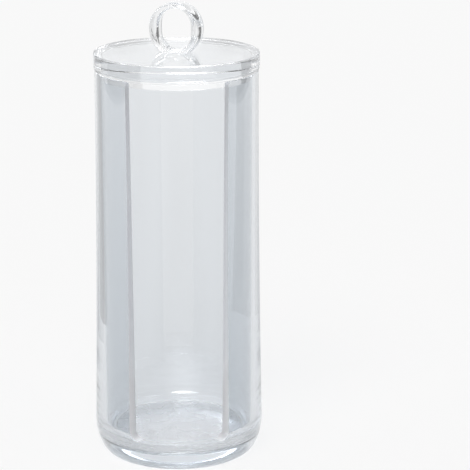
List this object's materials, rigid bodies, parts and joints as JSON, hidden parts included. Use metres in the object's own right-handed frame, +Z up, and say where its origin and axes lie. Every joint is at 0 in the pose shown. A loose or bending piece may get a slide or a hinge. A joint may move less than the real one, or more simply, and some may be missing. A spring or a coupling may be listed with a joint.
{
  "type": "cotton pad storage jar",
  "caption": "Tall round clear plastic jar for cotton pads, with a wide front slot, a flared thick base and a loose plug lid with a ring knob.",
  "frame": {"origin": "centre of the round flat face that the jar stands on", "axes": "+Z up along the jar's axis, the front slot faces -Y, +X to the right seen from the front"},
  "size_m": [0.0726, 0.0727, 0.1963],
  "materials": {
    "container": "clear moulded, polished",
    "lid": "clear moulded, polished"
  },
  "bodies": {
    "root": {"container": "container", "lid": "lid"}
  },
  "joints": []
}
